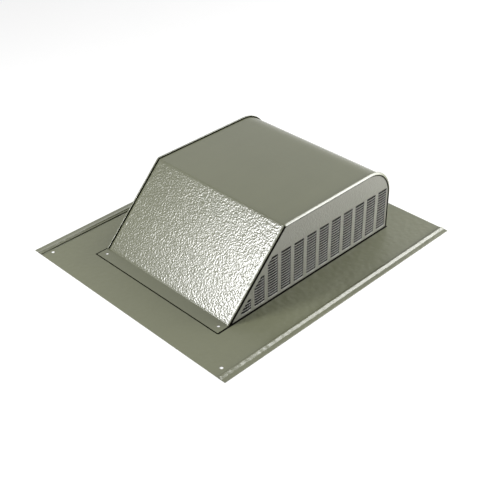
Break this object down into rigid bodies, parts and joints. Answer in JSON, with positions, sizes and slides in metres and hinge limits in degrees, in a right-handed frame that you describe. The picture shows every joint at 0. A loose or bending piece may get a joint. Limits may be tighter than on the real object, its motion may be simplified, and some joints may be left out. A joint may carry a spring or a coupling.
{
  "type": "slant back roof vent",
  "caption": "Low roof vent with a slanted back, flat top, rounded nose and louvred sides, seamed to a flashing plate over a round throat.",
  "frame": {"origin": "Underside of the base plate, on the axis of the round throat, which is the middle of the plate.", "axes": "+X across the roof, +Y up the roof towards the slanted back, +Z away from the roof deck."},
  "size_m": [0.399, 0.4572, 0.1104],
  "materials": {
    "painted_sheet": "olive grey baked enamel on thin steel sheet, smooth on top, with an embossed grain on the slant"
  },
  "bodies": {
    "root": {"base_plate": "painted_sheet", "hood_sheet": "painted_sheet", "side_panel_left": "painted_sheet", "side_panel_right": "painted_sheet"}
  },
  "joints": []
}
